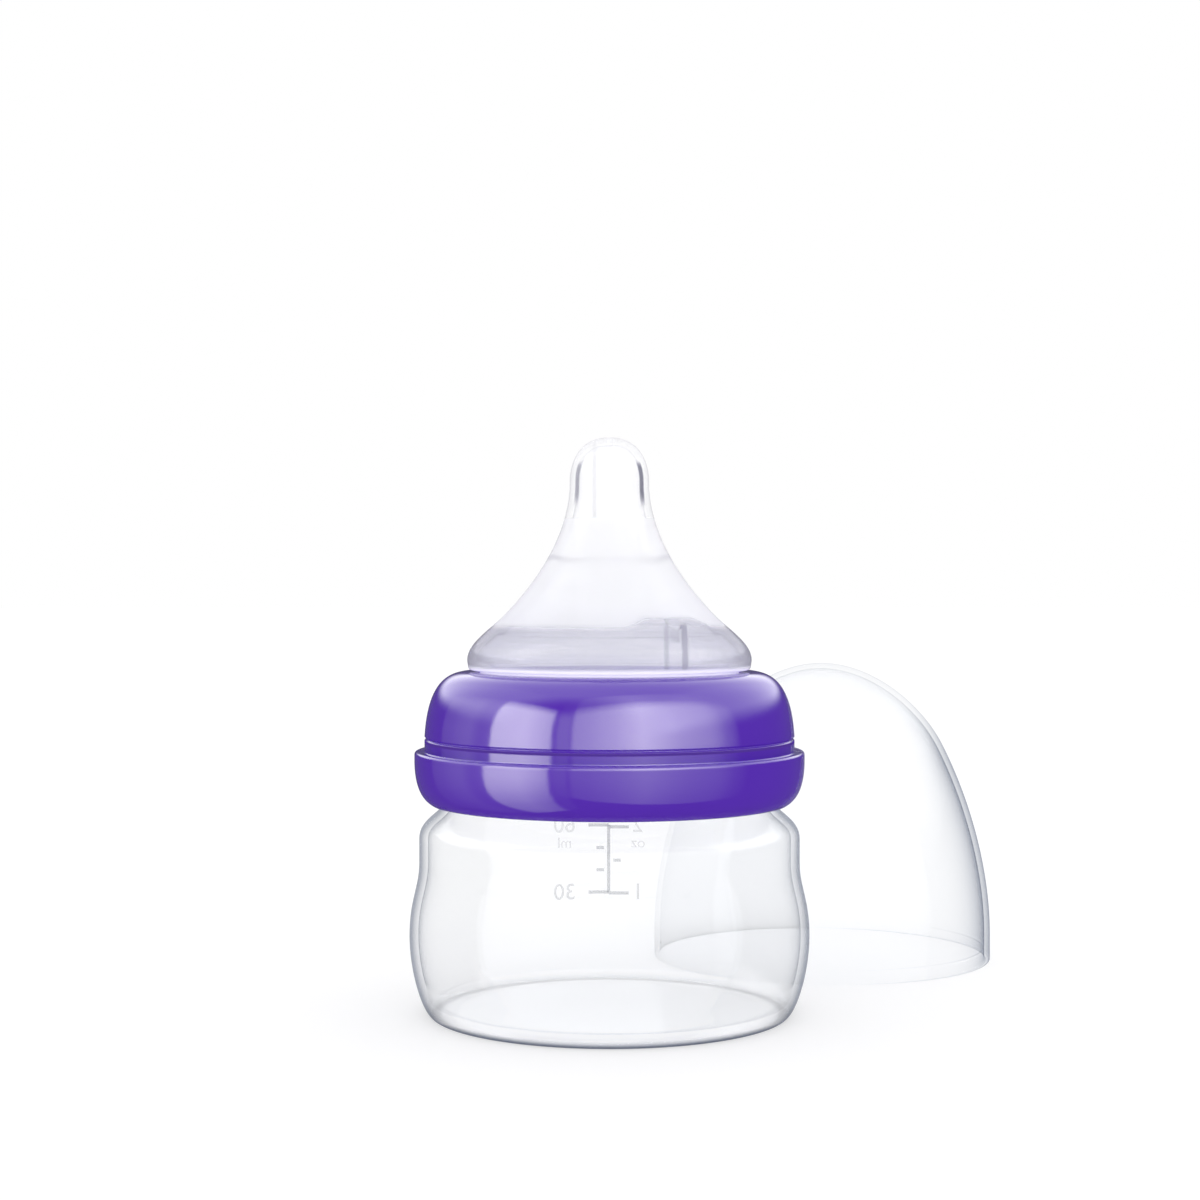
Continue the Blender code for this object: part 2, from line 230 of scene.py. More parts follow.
def inner_outline(outer, wall_at):
    """The outline a wall's thickness inside another one, with the wall set by the height."""
    inner = []
    for index, (radius, height) in enumerate(outer):
        before = Vector(outer[max(index - 1, 0)])
        after = Vector(outer[min(index + 1, len(outer) - 1)])
        along = (after - before).normalized()
        wall = wall_at(height)
        inner.append((max(radius + along.y * wall, 0.0), height - along.x * wall))
    return inner


def rounded(stops, closed=False):
    """Plain points for stops of (radius, height) or (radius, height, rounding)."""
    points = []
    count = len(stops)
    for index, stop in enumerate(stops):
        corner = Vector(stop[:2])
        ends_open = not closed and index in (0, count - 1)
        if len(stop) == 2 or ends_open:
            points.append(tuple(corner))
            continue
        before = Vector(stops[index - 1][:2])
        after = Vector(stops[(index + 1) % count][:2])
        trim = min(stop[2], (before - corner).length * 0.4, (after - corner).length * 0.4)
        start = corner + (before - corner).normalized() * trim
        end = corner + (after - corner).normalized() * trim
        points.append(tuple(start + (before - corner).normalized() * trim * 0.5))
        for step in range(CORNER_STEPS + 1):
            t = step / CORNER_STEPS
            point = start * (1 - t) ** 2 + corner * 2 * t * (1 - t) + end * t * t
            points.append(tuple(point))
        points.append(tuple(end + (after - corner).normalized() * trim * 0.5))
    return points


# ---------------------------------------------------------------- node sheets
class Wire:
    """A socket that can be added, multiplied and so on like a number."""

    def __init__(self, sheet, socket):
        self.sheet = sheet
        self.socket = socket

    def maths(self, operation, *values):
        return self.sheet.node("ShaderNodeMath", {"operation": operation}, dict(enumerate(values)))

    def __add__(self, other):
        return self.maths("ADD", self, other)

    def __radd__(self, other):
        return self.maths("ADD", other, self)

    def __sub__(self, other):
        return self.maths("SUBTRACT", self, other)

    def __rsub__(self, other):
        return self.maths("SUBTRACT", other, self)

    def __mul__(self, other):
        return self.maths("MULTIPLY", self, other)

    def __truediv__(self, other):
        return self.maths("DIVIDE", self, other)

    def __pow__(self, other):
        return self.maths("POWER", self, other)

    def __abs__(self):
        return self.maths("ABSOLUTE", self)

    def beside(self, name):
        """Another output of the same node."""
        return Wire(self.sheet, self.socket.node.outputs[name])


class Sheet:
    """The node tree of a material, a lamp, the world or a shape."""

    def __init__(self, tree):
        self.tree = tree
        tree.nodes.clear()

    def node(self, kind, settings=None, inputs=None, output=0):
        """A new node with its settings made first, then its sockets filled or linked."""
        item = self.tree.nodes.new(kind)
        for name, value in (settings or {}).items():
            if name == "stops":
                self.fill_ramp(item.color_ramp, value)
            else:
                setattr(item, name, value)
        for name, value in (inputs or {}).items():
            if isinstance(value, Wire):
                self.tree.links.new(value.socket, item.inputs[name])
            else:
                item.inputs[name].default_value = value
        return Wire(self, item.outputs[output]) if len(item.outputs) else None

    def fill_ramp(self, ramp, stops):
        while len(ramp.elements) < len(stops):
            ramp.elements.new(1.0)
        for element, (position, colour) in zip(ramp.elements, stops):
            element.position = position
            element.color = (*colour, 1.0)

    def rise(self, value, start, end, low=0.0, high=1.0):
        """A smooth change from low to high while the value goes from start to end."""
        inputs = {"Value": value, "From Min": start, "From Max": end, "To Min": low, "To Max": high}
        return self.node("ShaderNodeMapRange", {"interpolation_type": "SMOOTHSTEP"}, inputs)

    def line_at(self, value, centre, reach, core, low=0.0, high=1.0):
        """High where a value is within core of the centre, and low beyond reach of it."""
        return self.rise(abs(value - centre), reach, core, low, high)

    def blend(self, factor, first, second):
        """One colour that goes over into another."""
        return self.node("ShaderNodeMix", {"data_type": "RGBA"}, {0: factor, 6: first, 7: second}, 2)

    def choose(self, factor, first, second):
        """One number that goes over into another."""
        return self.node("ShaderNodeMix", {"data_type": "FLOAT"}, {0: factor, 2: first, 3: second})

    def most(self, first, *others):
        """The greatest of some values."""
        for other in others:
            first = first.maths("MAXIMUM", first, other)
        return first

    def noise(self, place, scale, detail=2.0):
        inputs = {"Vector": place, "Scale": scale, "Detail": detail}
        return self.node("ShaderNodeTexNoise", inputs=inputs, output="Fac")

    def bump(self, height, distance, strength=1.0):
        inputs = {"Height": height, "Distance": distance, "Strength": strength}
        return self.node("ShaderNodeBump", inputs=inputs)


def shape_sheet(name, sizes):
    """A Geometry Nodes tree with named sizes, its sheet, and a wire for each size."""
    tree = bpy.data.node_groups.new(name, "GeometryNodeTree")
    sheet = Sheet(tree)
    for label, kind in sizes.items():
        tree.interface.new_socket(name=label, in_out="INPUT", socket_type="NodeSocket" + kind)
    tree.interface.new_socket(name="Geometry", in_out="OUTPUT", socket_type="NodeSocketGeometry")
    entry = tree.nodes.new("NodeGroupInput")
    return tree, sheet, {label: Wire(sheet, entry.outputs[label]) for label in sizes}


def close_shape(sheet, geometry, material):
    """The end of every shape tree: real geometry with its material."""
    real = sheet.node("GeometryNodeRealizeInstances", inputs={0: geometry})
    done = sheet.node("GeometryNodeSetMaterial", inputs={"Geometry": real, "Material": material})
    sheet.node("NodeGroupOutput", inputs={0: done})


# ---------------------------------------------------------------- shapes
def add_object(name, mesh):
    item = bpy.data.objects.new(name, mesh)
    bpy.context.scene.collection.objects.link(item)
    return item


def plain(item, name, place=Matrix.Identity(4)):
    """A new object that holds the evaluated mesh of another one, which is removed."""
    deps = bpy.context.evaluated_depsgraph_get()
    mesh = bpy.data.meshes.new_from_object(item.evaluated_get(deps), depsgraph=deps)
    mesh.transform(place @ item.matrix_world)
    mesh.name = name
    bpy.data.objects.remove(item)
    return add_object(name, mesh)


def grown(name, tree, sizes, mesh=None):
    """A plain mesh made by a Geometry Nodes tree from its sizes."""
    item = add_object(name, mesh or bpy.data.meshes.new(name))
    modifier = item.modifiers.new(name, "NODES")
    modifier.node_group = tree
    for socket in tree.interface.items_tree:
        if socket.in_out == "INPUT" and socket.name in sizes:
            modifier[socket.identifier] = sizes[socket.name]
    return plain(item, name)


def turned(name, outline, closed, sides=TURNS_SIDES):
    """A turned piece: an outline at +X with a Screw modifier round Z."""
    mesh = bpy.data.meshes.new(name)
    edges = [(index, index + 1) for index in range(len(outline) - 1)]
    if closed:
        edges.append((len(outline) - 1, 0))
    mesh.from_pydata([(radius, 0.0, height) for radius, height in outline], edges, [])
    item = add_object(name, mesh)
    screw = item.modifiers.new("turn", "SCREW")
    screw.steps = sides
    screw.render_steps = sides
    screw.use_merge_vertices = True
    screw.merge_threshold = 0.000002
    return plain(item, name)


def combine(item, other, operation):
    """Cut, join or limit one piece with another, which is then removed."""
    cut = item.modifiers.new(other.name, "BOOLEAN")
    cut.operation = operation
    cut.solver = "EXACT"
    cut.object = other
    joined = plain(item, item.name)
    bpy.data.objects.remove(other)
    return joined


def rod(name, radius, start, end, sides):
    """A straight round rod from one point to another."""
    start = Vector(start)
    span = Vector(end) - start
    shape = bmesh.new()
    bmesh.ops.create_cone(
        shape, cap_ends=True, segments=sides, radius1=radius, radius2=radius, depth=span.length
    )
    turn = Vector((0.0, 0.0, 1.0)).rotation_difference(span).to_matrix().to_4x4()
    bmesh.ops.transform(shape, matrix=Matrix.Translation(start + span / 2) @ turn, verts=shape.verts)
    mesh = bpy.data.meshes.new(name)
    shape.to_mesh(mesh)
    shape.free()
    return add_object(name, mesh)


def thread_tree():
    """A helical ridge whose ends fade into the wall."""
    tree, sheet, size = shape_sheet("thread_ridge", {
        "Foot Radius": "Float",
        "Foot Width": "Float",
        "Crest Width": "Float",
        "Depth": "Float",
        "Facing": "Float",
        "Height": "Float",
        "Pitch": "Float",
        "Turns": "Float",
        "Facets": "Int",
        "Fade": "Float",
        "Material": "Material",
    })
    count = size["Turns"] * size["Facets"] + 1.0
    line = sheet.node("GeometryNodeCurvePrimitiveLine")
    line = sheet.node("GeometryNodeResampleCurve", inputs={"Curve": line, "Count": count})
    share = sheet.node("GeometryNodeSplineParameter", output="Factor")
    turn = share * size["Turns"]
    angle = turn * 2 * math.pi
    across = angle.maths("COSINE", angle) * size["Foot Radius"]
    along = angle.maths("SINE", angle) * size["Foot Radius"]
    up = size["Height"] + turn * size["Pitch"]
    place = sheet.node("ShaderNodeCombineXYZ", inputs={0: across, 1: along, 2: up})
    helix = sheet.node("GeometryNodeSetPosition", inputs={"Geometry": line, "Position": place})
    helix = sheet.node(
        "GeometryNodeSetCurveNormal", {"mode": "FREE"}, {"Curve": helix, "Normal": (0.0, 0.0, 1.0)}
    )
    section = sheet.node(
        "GeometryNodeCurvePrimitiveQuadrilateral",
        {"mode": "TRAPEZOID"},
        {
            "Height": size["Depth"],
            "Bottom Width": size["Foot Width"],
            "Top Width": size["Crest Width"],
            "Offset": 0.0,
        },
    )
    lift = sheet.node("ShaderNodeCombineXYZ", inputs={1: size["Depth"] / 2})
    section = sheet.node("GeometryNodeTransform", inputs={"Geometry": section, "Translation": lift})
    facing = sheet.node("ShaderNodeCombineXYZ", inputs={2: size["Facing"]})
    section = sheet.node("GeometryNodeTransform", inputs={"Geometry": section, "Rotation": facing})
    from_end = share.maths("MINIMUM", share, 1.0 - share)
    full = sheet.rise(from_end, 0.0, size["Fade"], 0.02, 1.0)
    ridge = sheet.node(
        "GeometryNodeCurveToMesh",
        inputs={"Curve": helix, "Profile Curve": section, "Scale": full, "Fill Caps": True},
    )
    close_shape(sheet, ridge, size["Material"])
    return tree


def thread_ridge(name, root_radius, crest_radius, height, material):
    """One ridge of the right-handed screw thread, which points from its root to its crest."""
    inwards = crest_radius < root_radius
    flank = (THREAD_ROOT_WIDTH - THREAD_CREST_WIDTH) / abs(crest_radius - root_radius)
    foot_radius = root_radius + math.copysign(THREAD_BURY, root_radius - crest_radius)
    return grown(name, thread_tree(), {
        "Foot Radius": foot_radius,
        "Foot Width": THREAD_ROOT_WIDTH + flank * THREAD_BURY,
        "Crest Width": THREAD_CREST_WIDTH,
        "Depth": abs(crest_radius - foot_radius),
        "Facing": math.pi if inwards else 0.0,
        "Height": height,
        "Pitch": THREAD_PITCH,
        "Turns": THREAD_TURNS,
        "Facets": TURNS_SIDES,
        "Fade": THREAD_FADE,
        "Material": material,
    })


def finish_piece(piece, material, node, body):
    """The last steps of a shell: its material, smooth faces, and its place in the frame."""
    piece.data.materials.clear()
    piece.data.materials.append(material)
    piece.data.shade_smooth()
    piece.data.set_sharp_from_angle(angle=math.radians(SHARP_ANGLE))
    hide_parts(node)
    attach(piece, body)
    return piece


# ---------------------------------------------------------------- bottle
def bottle_outer():
    """From the rim down the neck, shoulder, waist and belly to the ring it stands on."""
    neck = (NECK_RADIUS, NECK_HEIGHT)
    shoulder = (WAIST_RADIUS, SHOULDER_HEIGHT)
    waist = (WAIST_RADIUS, WAIST_HEIGHT)
    belly = (BELLY_RADIUS, BELLY_HEIGHT)
    outline = [neck]
    outline += sweep(neck, -90, shoulder, -90, 0.32, 0.44)
    outline.append(waist)
    outline += sweep(waist, -90, belly, -90, 0.33, 0.49)
    outline += sweep(belly, -90, (STANDING_RADIUS, 0.0), 180, 0.47, 0.10)
    return outline


def bottle_outline():
    outer = bottle_outer()
    inner = inner_outline(outer, lambda height: BOTTLE_WALL)
    floor_height = RECESS_DEPTH + BOTTLE_WALL
    inner = [stop for stop in inner if stop[1] > floor_height + FLOOR_CORNER]
    ring_inside = STANDING_RADIUS - STANDING_RING_WIDTH
    stops = [
        (0.0, floor_height),
        (inner[-1][0] - FLOOR_CORNER / 4, floor_height, FLOOR_CORNER),
    ]
    stops += inner[::-1]
    stops += [
        (NECK_RADIUS - BOTTLE_WALL, RIM_HEIGHT, SOFT),
        (NECK_RADIUS, RIM_HEIGHT, SOFT),
    ]
    stops += outer
    stops += [
        (ring_inside, 0.0, EASED),
        (PANEL_RADIUS, RECESS_DEPTH, EASED),
        (0.0, RECESS_DEPTH),
    ]
    return rounded(stops)


def make_bottle(material):
    bottle = turned("bottle_shell", bottle_outline(), closed=False)
    crest_radius = NECK_RADIUS + THREAD_DEPTH
    thread = thread_ridge("neck_thread", NECK_RADIUS, crest_radius, BOTTLE_THREAD_HEIGHT, material)
    bottle = combine(bottle, thread, "UNION")
    return finish_piece(bottle, material, "bottle", "bottle")


# ---------------------------------------------------------------- collar
def collar_outline():
    """From the opening over the crown, ledge and skirt, then up the bore to the plate."""
    snap = LEDGE_HEIGHT + SNAP_RISE
    lip = (OPENING_RADIUS + LIP_WIDTH, COLLAR_TOP)
    crown_foot = (CROWN_RADIUS, snap + SNAP_HALF_WIDTH)
    skirt_top = (COLLAR_RIM_RADIUS, LEDGE_HEIGHT - LEDGE_THICKNESS)
    mouth_radius = BORE_RADIUS + MOUTH_FLARE
    skirt_foot = (mouth_radius + 0.0003, COLLAR_BOTTOM)
    stops = [(OPENING_RADIUS, COLLAR_TOP, EASED), lip]
    stops += sweep(lip, 0, crown_foot, -86.5, 0.32, 0.60)
    stops += [
        (CROWN_RADIUS - SNAP_DEPTH, snap, CRISP),
        (CROWN_RADIUS, snap - SNAP_HALF_WIDTH, 0.00008),
        (CROWN_RADIUS, LEDGE_HEIGHT, FINE),
        (COLLAR_RIM_RADIUS, LEDGE_HEIGHT, 0.0005),
    ]
    stops += sweep(skirt_top, -90, skirt_foot, -150, 0.45, 0.30)
    stops += [
        (mouth_radius, COLLAR_BOTTOM, CRISP),
        (BORE_RADIUS, COLLAR_BOTTOM + MOUTH_FLARE, FINE),
        (BORE_RADIUS, RELIEF_HEIGHT, FINE),
        (NECK_BORE_RADIUS, RELIEF_HEIGHT + RELIEF_RISE, FINE),
        (NECK_BORE_RADIUS, FLANGE_HEIGHT, FINE),
        (FLANGE_BORE_RADIUS, PLATE_HEIGHT - RELIEF_RISE, FINE),
        (FLANGE_BORE_RADIUS, PLATE_HEIGHT, FINE),
        (OPENING_RADIUS, PLATE_HEIGHT, EASED),
    ]
    return rounded(stops, closed=True)


def make_collar(material):
    collar = turned("collar_shell", collar_outline(), closed=True)
    crest_radius = BORE_RADIUS - THREAD_DEPTH
    thread = thread_ridge("bore_thread", BORE_RADIUS, crest_radius, COLLAR_THREAD_HEIGHT, material)
    collar = combine(collar, thread, "UNION")
    return finish_piece(collar, material, "screw_collar", "collar")


# ---------------------------------------------------------------- teat
def teat_outer():
    """From the feed hole over the tip and down the nipple, cone and skirt."""
    tip = (FEED_HOLE_RADIUS, TIP_HEIGHT)
    nipple = (NIPPLE_RADIUS, SKIRT_UNDERSIDE + NIPPLE_RISE)
    cone = (CONE_RADIUS, SKIRT_UNDERSIDE + CONE_RISE)
    bulge = (SKIRT_RADIUS, SKIRT_UNDERSIDE + SKIRT_BULGE_RISE)
    outline = [tip]
    outline += sweep(tip, 0, nipple, -90, 0.37, 0.48)
    outline += sweep(nipple, -90, cone, -45, 0.30, 0.385, steps=2 * SPAN_STEPS)
    outline += sweep(cone, -45, bulge, -90, 0.39, 0.29)
    return outline


def teat_wall(height):
    """The wall's thickness, which changes at two steps on the inside."""
    if height > SKIRT_UNDERSIDE + CONE_STEP_RISE:
        return NIPPLE_WALL
    if height > SKIRT_UNDERSIDE + SKIRT_STEP_RISE:
        return CONE_WALL
    return SKIRT_WALL


def teat_outline():
    outer = teat_outer()
    throat_radius = GROOVE_RADIUS - THROAT_WALL
    stops = list(outer)
    stops += [
        (SKIRT_RADIUS - 0.0002, SKIRT_UNDERSIDE, 0.0005),
        (GROOVE_RADIUS, SKIRT_UNDERSIDE, EASED),
        (GROOVE_RADIUS, FLANGE_TOP, EASED),
        (FLANGE_RADIUS, FLANGE_TOP, SOFT),
        (FLANGE_RADIUS, FLANGE_HEIGHT, EASED),
        (throat_radius, FLANGE_HEIGHT, SOFT),
        (throat_radius, SKIRT_UNDERSIDE + 0.0006, 0.0006),
    ]
    stops += inner_outline(outer[1:], teat_wall)[::-1]
    stops.append((FEED_HOLE_RADIUS, TIP_HEIGHT - NIPPLE_WALL))
    return rounded(stops, closed=True)


def vent_outline():
    """Half of the vent: a stem that opens into a small funnel at its top."""
    top = SKIRT_UNDERSIDE + VENT_RISE
    stops = [
        (0.0, FLANGE_HEIGHT),
        (VENT_RADIUS, FLANGE_HEIGHT),
        (VENT_RADIUS, SKIRT_UNDERSIDE + 0.0005),
        (VENT_WAIST_RADIUS, SKIRT_UNDERSIDE + 0.0030, 0.0008),
        (VENT_WAIST_RADIUS, top - VENT_FUNNEL_DEPTH, 0.0006),
        (VENT_FUNNEL_RADIUS, top - 0.0003, FINE),
        (VENT_FUNNEL_RADIUS, top, FINE),
        (0.0, top),
    ]
    return rounded(stops)


def vent_bore_outline():
    """Half of the hole down the vent, which opens out inside the funnel."""
    top = SKIRT_UNDERSIDE + VENT_RISE
    stops = [
        (0.0, FLANGE_HEIGHT - 0.0010),
        (VENT_BORE_RADIUS, FLANGE_HEIGHT - 0.0010),
        (VENT_BORE_RADIUS, top - VENT_FUNNEL_DEPTH + 0.0003, EASED),
        (VENT_FUNNEL_RADIUS - 0.0007, top + 0.0001),
        (0.0, top + 0.0001),
    ]
    return rounded(stops)


def vent_envelope():
    """The inside of the teat's outer skin, which keeps the vent out of sight from outside."""
    skin = THROAT_WALL / 3
    foot = [
        (GROOVE_RADIUS - skin, SKIRT_UNDERSIDE + 0.0003),
        (GROOVE_RADIUS - skin, FLANGE_HEIGHT),
        (0.0, FLANGE_HEIGHT),
    ]
    outer = inner_outline(teat_outer()[1:], lambda height: skin)
    return [(0.0, outer[0][1])] + outer + foot


def make_teat(material):
    teat = turned("teat_shell", teat_outline(), closed=True)
    vent = turned("vent", vent_outline(), closed=False, sides=VENT_SIDES)
    vent.data.transform(Matrix.Translation(VENT_PLACE))
    vent = combine(vent, turned("vent_envelope", vent_envelope(), closed=False), "INTERSECT")
    teat = combine(teat, vent, "UNION")
    bore = turned("vent_bore", vent_bore_outline(), closed=False, sides=VENT_BORE_SIDES)
    bore.data.transform(Matrix.Translation(VENT_PLACE))
    teat = combine(teat, bore, "DIFFERENCE")
    port_height = Vector((0.0, 0.0, (FLANGE_TOP + SKIRT_UNDERSIDE) / 2))
    port_end = VENT_OUT * FLANGE_RADIUS + port_height
    port_start = VENT_PLACE + port_height
    port = rod("vent_port", VENT_PORT_RADIUS, port_start, port_end, VENT_PORT_SIDES)
    teat = combine(teat, port, "DIFFERENCE")
    return finish_piece(teat, material, "teat", "teat")


# ---------------------------------------------------------------- cap
def cap_outline():
    crown = (0.0, CAP_HEIGHT)
    turn = (CAP_TURN_RADIUS, CAP_HEIGHT - CAP_CROWN_RISE)
    skirt = (CAP_RADIUS, CAP_SKIRT_HEIGHT)
    outer = [crown]
    outer += sweep(crown, 0, turn, CAP_SIDE_ANGLE, 0.34, 0.33, steps=2 * SPAN_STEPS)
    outer += sweep(turn, CAP_SIDE_ANGLE, skirt, -90, 0.32, 0.33, steps=2 * SPAN_STEPS)
    inner = inner_outline(outer, lambda height: CAP_WALL)
    inner[0] = (0.0, CAP_HEIGHT - CAP_WALL)
    inside_radius = CAP_RADIUS - CAP_WALL
    stops = list(outer)
    stops += [
        (CAP_RADIUS, 0.0, EASED),
        (inside_radius, 0.0, EASED),
        (inside_radius, SNAP_RISE - SNAP_HALF_WIDTH, CRISP),
        (inside_radius - CAP_BEAD, SNAP_RISE, CRISP),
        (inside_radius, SNAP_RISE + SNAP_HALF_WIDTH, CRISP),
    ]
    stops += inner[::-1]
    return rounded(stops)


def make_cap(material):
    cap = turned("cap_shell", cap_outline(), closed=False)
    cap.data.transform(Matrix.Translation(CAP_PLACE))
    return finish_piece(cap, material, "dome_cap", "cap")


# ---------------------------------------------------------------- volume scale
def outer_radius(height):
    """How wide the bottle is at a height."""
    wall = bottle_outer()
    for (upper_radius, upper), (lower_radius, lower) in zip(wall, wall[1:]):
        if lower <= height < upper:
            share = (height - lower) / (upper - lower)
            return lower_radius + (upper_radius - lower_radius) * share
    return NECK_RADIUS


def level_height(millilitres):
    """The height of the mark for this volume."""
    return SCALE_FOOT + (millilitres - 30) * SCALE_RISE


def marks_tree():
    """Raised bars, one at each point, as long and as thick as the point says."""
    tree, sheet, size = shape_sheet("volume_marks", {
        "Points": "Geometry",
        "Relief": "Float",
        "Facets": "Int",
        "Material": "Material",
    })
    length = sheet.node("GeometryNodeInputNamedAttribute", inputs={"Name": "length"})
    thickness = sheet.node("GeometryNodeInputNamedAttribute", inputs={"Name": "thickness"})
    bar = sheet.node(
        "GeometryNodeMeshCube",
        inputs={"Size": (1.0, 1.0, 1.0), "Vertices X": size["Facets"], "Vertices Y": size["Facets"]},
    )
    stretch = sheet.node("ShaderNodeCombineXYZ", inputs={0: length, 1: thickness, 2: size["Relief"]})
    bars = sheet.node(
        "GeometryNodeInstanceOnPoints",
        inputs={"Points": size["Points"], "Instance": bar, "Scale": stretch},
    )
    close_shape(sheet, bars, size["Material"])
    return tree


def make_bars(material):
    """The bars of the scale, flat: X runs along the wall and Y is the height."""
    top = level_height(60)
    bottom = level_height(30)
    bars = [(0.0, (top + bottom) / 2, SCALE_STROKE, top - bottom)]
    for volume, start, end in (
        (30, 0.0, LONG_MARK),
        (40, SHORT_MARK_GAP, SHORT_MARK_END),
        (50, SHORT_MARK_GAP, SHORT_MARK_END),
        (60, 0.0, LONG_MARK),
        (1.0 * OUNCE, 0.0, -LONG_MARK),
        (1.5 * OUNCE, -SHORT_MARK_GAP, -SHORT_MARK_END),
        (2.0 * OUNCE, 0.0, -LONG_MARK),
    ):
        bars.append(((start + end) / 2, level_height(volume), abs(end - start), SCALE_STROKE))
    points = bpy.data.meshes.new("bars")
    points.from_pydata([(across, height, 0.0) for across, height, _, _ in bars], [], [])
    for name, column in (("length", 2), ("thickness", 3)):
        layer = points.attributes.new(name, "FLOAT", "POINT")
        layer.data.foreach_set("value", [bar[column] for bar in bars])
    sizes = {"Relief": SCALE_RELIEF, "Facets": BAR_FACETS, "Material": material}
    return grown("bars", marks_tree(), sizes, points)


def make_figure(text, height, place):
    """A flat raised word or number, centred on a place."""
    curve = bpy.data.curves.new(text, "FONT")
    curve.body = text
    curve.size = height
    curve.align_x = "CENTER"
    curve.align_y = "CENTER"
    curve.extrude = SCALE_RELIEF / 2
    curve.resolution_u = 4
    item = bpy.data.objects.new(text, curve)
    bpy.context.scene.collection.objects.link(item)
    figure = plain(item, text, Matrix.Translation((place[0], place[1], 0.0)))
    shape = bmesh.new()
    shape.from_mesh(figure.data)
    bmesh.ops.remove_doubles(shape, verts=shape.verts, dist=0.000001)
    shape.to_mesh(figure.data)
    shape.free()
    return figure


def make_scale(material):
    """The volume scale on the far wall, which reads right from behind."""
    parts = [make_bars(material)]
    one = level_height(30)
    two = level_height(60)
    for text, height, place in (
        ("30", FIGURE_HEIGHT, (FIGURE_OFFSET, one)),
        ("60", FIGURE_HEIGHT, (FIGURE_OFFSET, two)),
        ("ml", UNIT_HEIGHT, (FIGURE_OFFSET, two - UNIT_DROP)),
        ("1", FIGURE_HEIGHT, (-OUNCE_OFFSET, one)),
        ("2", FIGURE_HEIGHT, (-OUNCE_OFFSET, two)),
        ("oz", UNIT_HEIGHT, (-OUNCE_OFFSET, two - UNIT_DROP)),
    ):
        parts.append(make_figure(text, height, place))
    shape = bmesh.new()
    for part in parts:
        shape.from_mesh(part.data)
        bpy.data.objects.remove(part)
    for vert in shape.verts:
        across, height, relief = vert.co
        radius = outer_radius(height)
        angle = across / radius
        radius += relief + SCALE_RELIEF * SCALE_LIFT
        vert.co = (-radius * math.sin(angle), radius * math.cos(angle), height)
    bmesh.ops.recalc_face_normals(shape, faces=shape.faces)
    mesh = bpy.data.meshes.new("volume_scale")
    shape.to_mesh(mesh)
    shape.free()
    mesh.materials.append(material)
    scale = add_object("volume_scale", mesh)
    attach(scale, "bottle")
    return scale


# ---------------------------------------------------------------- materials
def new_material(name):
    material = bpy.data.materials.new(name)
    material.use_nodes = True
    return material, Sheet(material.node_tree)


def finish_material(sheet, shader):
    sheet.node("ShaderNodeOutputMaterial", inputs={"Surface": shader})


def straight_through(sheet, dark, body, dark_shade):
    """Light that passes straight on through a thin wall, which tints it."""
    light = sheet.node("ShaderNodeBsdfTransparent", inputs={"Color": body})
    deep = sheet.node("ShaderNodeBsdfTransparent", inputs={"Color": dark_shade})
    return sheet.node("ShaderNodeMixShader", inputs={0: dark, 1: light, 2: deep})


def lets_lamps_through(sheet, shader, dark, pale):
    """A clear piece whose shadow is pale, but for its dark parts."""
    shadow = sheet.node("ShaderNodeLightPath", output="Is Shadow Ray")
    shadow = sheet.most(shadow, shadow.beside("Is Diffuse Ray"))
    shade = straight_through(sheet, dark, pale, SHADE_COLOUR)
    return sheet.node("ShaderNodeMixShader", inputs={0: shadow, 1: shader, 2: shade})


def clear_plastic(name, body, dark_shade, bent, pale, marks_at):
    """Clear moulded plastic, with painted bluish grey shade where its wall is seen edge on.

    The share called bent bends and mirrors light as a solid does; the rest is a thin wall.
    pale is its shadow's colour.  marks_at gives how much painted edge shade it has, how dark its
    shadow is, and where it has a painted glow.
    """
    material, sheet = new_material(name)
    place = sheet.node("ShaderNodeTexCoord", output="Object")
    facing = sheet.node("ShaderNodeLayerWeight", inputs={"Blend": 0.5}, output="Facing")
    # How much painted edge shade, how dark the shadow, and where a painted glow goes.
    painted_shading, shaded, painted_glow = marks_at(sheet, place, facing)
    solid = sheet.node(
        "ShaderNodeBsdfPrincipled",
        inputs={
            "Base Color": sheet.blend(painted_shading, body, dark_shade),
            "Roughness": 0.012 + sheet.noise(place, 140.0) * 0.03,
            "Normal": sheet.bump(sheet.noise(place, 70.0, 1.0), 0.0004, 0.03),
            "IOR": PLASTIC_INDEX,
            "Transmission Weight": 1.0,
            # Painted glow: light the piece gives off where marks_at asks for it.
            "Emission Color": sheet.blend(painted_glow, BLACK, WHITE),
            "Emission Strength": 1.0,
        },
    )
    # The thin wall passes light on in the painted shade's colour too.
    thin = straight_through(sheet, painted_shading, body, dark_shade)
    shader = sheet.node("ShaderNodeMixShader", inputs={0: bent, 1: thin, 2: solid})
    finish_material(sheet, lets_lamps_through(sheet, shader, shaded, pale))
    return material


def wall_sides(sheet, place):
    """How far a turned wall's face is on the near side, and how far it is an outer face."""
    across = sheet.node("ShaderNodeSeparateXYZ", inputs={0: place})
    back = across.beside("Y")
    from_axis = (across ** 2.0 + back ** 2.0) ** 0.5
    lean = sheet.node("ShaderNodeSeparateXYZ", inputs={0: place.beside("Normal")})
    towards = (lean * across + lean.beside("Y") * back) / from_axis
    behind = sheet.node("ShaderNodeNewGeometry", output="Backfacing")
    near = sheet.rise(towards, -0.1, 0.1)
    outer = sheet.rise(towards * (1.0 - behind * 2.0), -0.1, 0.1)
    return across, from_axis, near, outer


